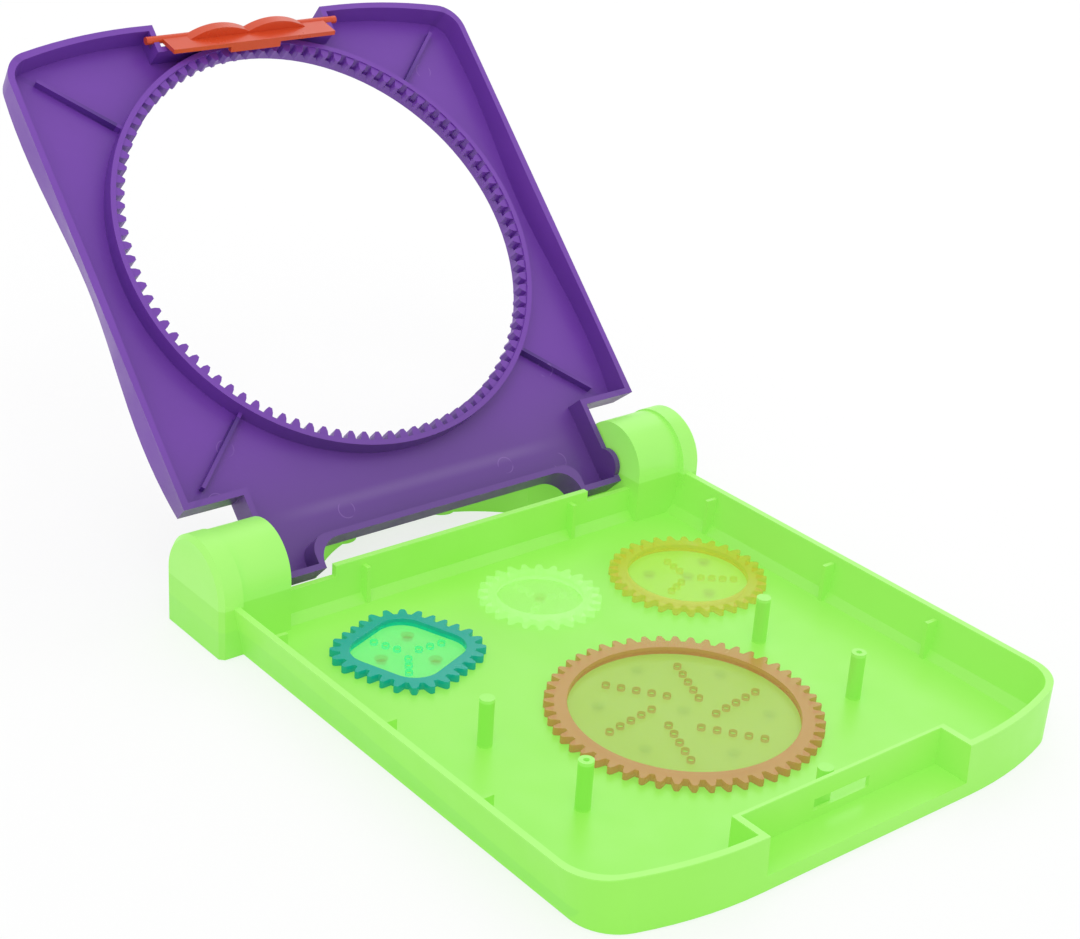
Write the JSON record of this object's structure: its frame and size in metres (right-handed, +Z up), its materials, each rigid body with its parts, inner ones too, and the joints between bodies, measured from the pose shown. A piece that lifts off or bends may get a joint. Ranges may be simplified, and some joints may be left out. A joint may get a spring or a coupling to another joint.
{
  "type": "spiral drawing case",
  "caption": "Open folding spiral-drawing case: green tray with posts and handle, hinged lid with an internal toothed ring, latch, and loose toothed wheels.",
  "frame": {"origin": "middle of the tray's underside, between its sides and between its front edge and its back wall", "axes": "+Z up, front towards -Y, hinge axis along X, metres"},
  "size_m": [0.214, 0.3677, 0.1697],
  "materials": {
    "tray": "translucent moulded",
    "lid": "satin moulded",
    "latch": "gloss moulded",
    "coral_wheel": "tinted clear",
    "amber_wheel": "tinted clear",
    "pale_wheel": "nearly clear",
    "blue_wheel": "tinted clear"
  },
  "bodies": {
    "base": {"tray": "tray"},
    "lid": {"lid": "lid"},
    "latch": {"latch": "latch"},
    "coral": {"coral_wheel": "coral_wheel"},
    "amber": {"amber_wheel": "amber_wheel"},
    "pale": {"pale_wheel": "pale_wheel"},
    "blue": {"blue_wheel": "blue_wheel"}
  },
  "joints": [
    {"name": "lid_hinge", "type": "hinge", "parent": "base", "child": "lid", "pos_m": [0, 0.111, 0.0207], "axis": [1, 0, 0], "range_deg": [0, 135.2]},
    {"name": "latch_pivot", "type": "hinge", "parent": "lid", "child": "latch", "pos_m": [0, 0.25441, 0.16495], "axis": [-1, 0, 0], "range_deg": [0, 58.8]},
    {"name": "coral_lift", "type": "slide", "parent": "base", "child": "coral", "axis": [0, 0, 1], "range_m": [0, 0.18]},
    {"name": "amber_lift", "type": "slide", "parent": "base", "child": "amber", "axis": [0, 0, 1], "range_m": [0, 0.18]},
    {"name": "pale_lift", "type": "slide", "parent": "base", "child": "pale", "axis": [0, 0, 1], "range_m": [0, 0.18]},
    {"name": "blue_lift", "type": "slide", "parent": "base", "child": "blue", "axis": [0, 0, 1], "range_m": [0, 0.18]}
  ],
  "couplings": [
    {"joint": "latch_pivot", "follows": "lid_hinge", "ratio": 0.4349}
  ]
}
